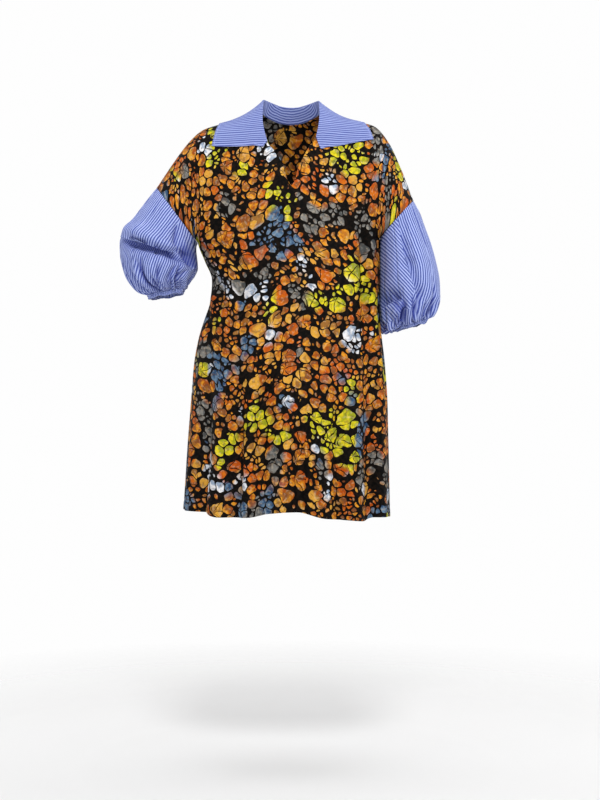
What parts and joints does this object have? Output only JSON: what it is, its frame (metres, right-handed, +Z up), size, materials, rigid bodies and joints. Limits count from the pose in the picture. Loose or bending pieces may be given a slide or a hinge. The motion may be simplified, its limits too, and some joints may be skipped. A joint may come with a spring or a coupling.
{
  "type": "bubu dress, knee-length pull-over dress with pointed collar and balloon sleeves",
  "caption": "Wide hollow knee-length dress with dropped shoulders, deep V neck, pointed collar and balloon sleeves gathered into elastic cuffs, a sleeve bent and its pair hanging.",
  "frame": {"origin": "between the shoulders at the base of the neck, where the dress is held up when worn", "axes": "+Z up, -Y toward the front, +X toward the wearer's left"},
  "size_m": [0.7613, 0.3419, 0.9967],
  "materials": {
    "front_panel": "printed cotton, matt with a slight wax sheen",
    "back_panel": "printed cotton, matt with a slight wax sheen",
    "sleeve_right": "striped cotton, matt",
    "sleeve_left": "striped cotton, matt",
    "cuff_right": "striped cotton, matt",
    "cuff_left": "striped cotton, matt",
    "collar": "striped cotton, matt"
  },
  "bodies": {
    "root": {"front_panel": "front_panel", "back_panel": "back_panel", "sleeve_right": "sleeve_right", "sleeve_left": "sleeve_left", "cuff_right": "cuff_right", "cuff_left": "cuff_left", "collar": "collar"}
  },
  "joints": []
}
